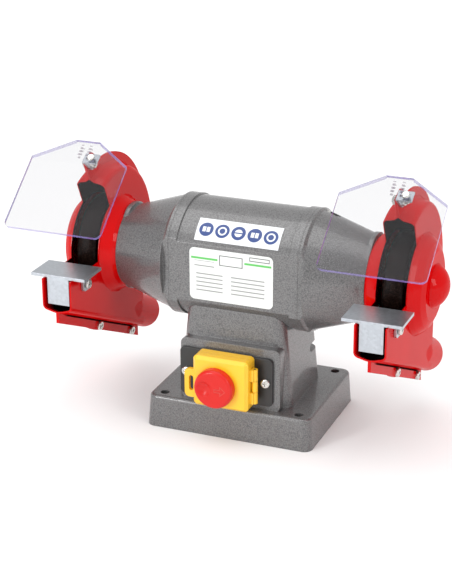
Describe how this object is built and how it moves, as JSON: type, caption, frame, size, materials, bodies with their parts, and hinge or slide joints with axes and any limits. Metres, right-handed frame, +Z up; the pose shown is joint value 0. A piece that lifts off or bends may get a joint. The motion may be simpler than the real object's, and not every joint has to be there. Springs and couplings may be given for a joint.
{
  "type": "bench grinder",
  "caption": "Bench grinder: motor on a hammered grey stand, red guards with tool rests and clear eye shields, emergency-stop switch in front.",
  "frame": {"origin": "middle of the four bench-bolt holes, on the underside of the stand", "axes": "+X along the spindle to the operator's right, +Y from the operator to the back, +Z up"},
  "size_m": [0.4174, 0.2112, 0.2781],
  "materials": {
    "grey_hammer_paint": "hammered gloss",
    "red_paint": "gloss",
    "zinc": "zinc plated",
    "turned_steel": "turned",
    "core_steel": "laminated",
    "copper": "varnished copper wire",
    "abrasive": "gritty",
    "paper": "matte",
    "clear_plastic": "clear",
    "black_plastic": "satin",
    "pale_plastic": "satin",
    "yellow_plastic": "satin",
    "red_plastic": "satin",
    "green_plastic": "satin",
    "label_film": "gloss film"
  },
  "bodies": {
    "frame": {"bearing_outer_rings": "turned_steel", "bell_screws": "zinc", "bottom_cover": "zinc", "cable_gland": "black_plastic", "capacitor": "black_plastic", "capacitor_clip": "zinc", "cover_screws": "zinc", "end_bell_left": "grey_hammer_paint", "end_bell_right": "grey_hammer_paint", "front_label": "label_film", "guard_inner_left": "red_paint", "guard_inner_right": "red_paint", "guard_outer_left": "red_paint", "guard_outer_right": "red_paint", "guard_screws": "zinc", "hinge_pin": "turned_steel", "motor_housing": "grey_hammer_paint", "plate_screws": "zinc", "preload_washer": "turned_steel", "rest_nuts": "zinc", "rest_screws": "zinc", "seam_nuts": "zinc", "seam_screws": "zinc", "shield_bolts": "zinc", "shield_nuts": "zinc", "stand": "grey_hammer_paint", "stator_core": "core_steel", "stator_windings": "copper", "switch_body": "black_plastic", "switch_frame": "yellow_plastic", "switch_plate": "black_plastic", "terminal_block": "pale_plastic", "top_label": "label_film"},
    "spindle": {"spindle_shaft": "turned_steel", "rotor": "core_steel", "bearing_inner_rings": "turned_steel", "bearing_balls": "turned_steel", "flange_inner_left": "turned_steel", "flange_inner_right": "turned_steel", "flange_outer_left": "turned_steel", "flange_outer_right": "turned_steel", "blotters": "paper", "wheel_left": "abrasive", "wheel_right": "abrasive", "spindle_nut_left": "turned_steel", "spindle_nut_right": "turned_steel"},
    "rest_left": {"tool_rest_left": "zinc"},
    "shield_left": {"shield_pane_left": "clear_plastic", "shield_bracket_left": "zinc", "pane_screw_left": "zinc", "pane_nut_left": "zinc"},
    "rest_right": {"tool_rest_right": "zinc"},
    "shield_right": {"shield_pane_right": "clear_plastic", "shield_bracket_right": "zinc", "pane_screw_right": "zinc", "pane_nut_right": "zinc"},
    "flap": {"switch_flap": "yellow_plastic"},
    "knob": {"switch_knob": "red_plastic"},
    "start": {"start_button": "green_plastic"},
    "stop": {"stop_button": "red_plastic"}
  },
  "joints": [
    {"name": "spindle_spin", "type": "hinge", "parent": "frame", "child": "spindle", "pos_m": [0, 0, 0.1636], "axis": [1, 0, 0], "continuous": true},
    {"name": "rest_left_slide", "type": "slide", "parent": "frame", "child": "rest_left", "axis": [0, 1, 0], "range_m": [-0.0035, 0.0035]},
    {"name": "shield_left_tilt", "type": "hinge", "parent": "frame", "child": "shield_left", "pos_m": [-0.1577, -0.0335, 0.2555], "axis": [1, 0, 0], "range_deg": [-60, 15]},
    {"name": "rest_right_slide", "type": "slide", "parent": "frame", "child": "rest_right", "axis": [0, 1, 0], "range_m": [-0.0035, 0.0035]},
    {"name": "shield_right_tilt", "type": "hinge", "parent": "frame", "child": "shield_right", "pos_m": [0.1577, -0.0335, 0.2555], "axis": [1, 0, 0], "range_deg": [-60, 15]},
    {"name": "flap_hinge", "type": "hinge", "parent": "frame", "child": "flap", "pos_m": [0.0301, -0.06825, 0.062], "axis": [0, 0, 1], "range_deg": [0, 110]},
    {"name": "knob_slide", "type": "slide", "parent": "flap", "child": "knob", "axis": [1, 0, 0], "range_m": [0, 0.004], "stiffness_N_per_m": 400, "springref_m": -0.001},
    {"name": "start_press", "type": "slide", "parent": "frame", "child": "start", "axis": [0, 1, 0], "range_m": [0, 0.003], "stiffness_N_per_m": 500, "springref_m": -0.001},
    {"name": "stop_press", "type": "slide", "parent": "frame", "child": "stop", "axis": [0, 1, 0], "range_m": [0, 0.003], "stiffness_N_per_m": 500, "springref_m": -0.001}
  ]
}
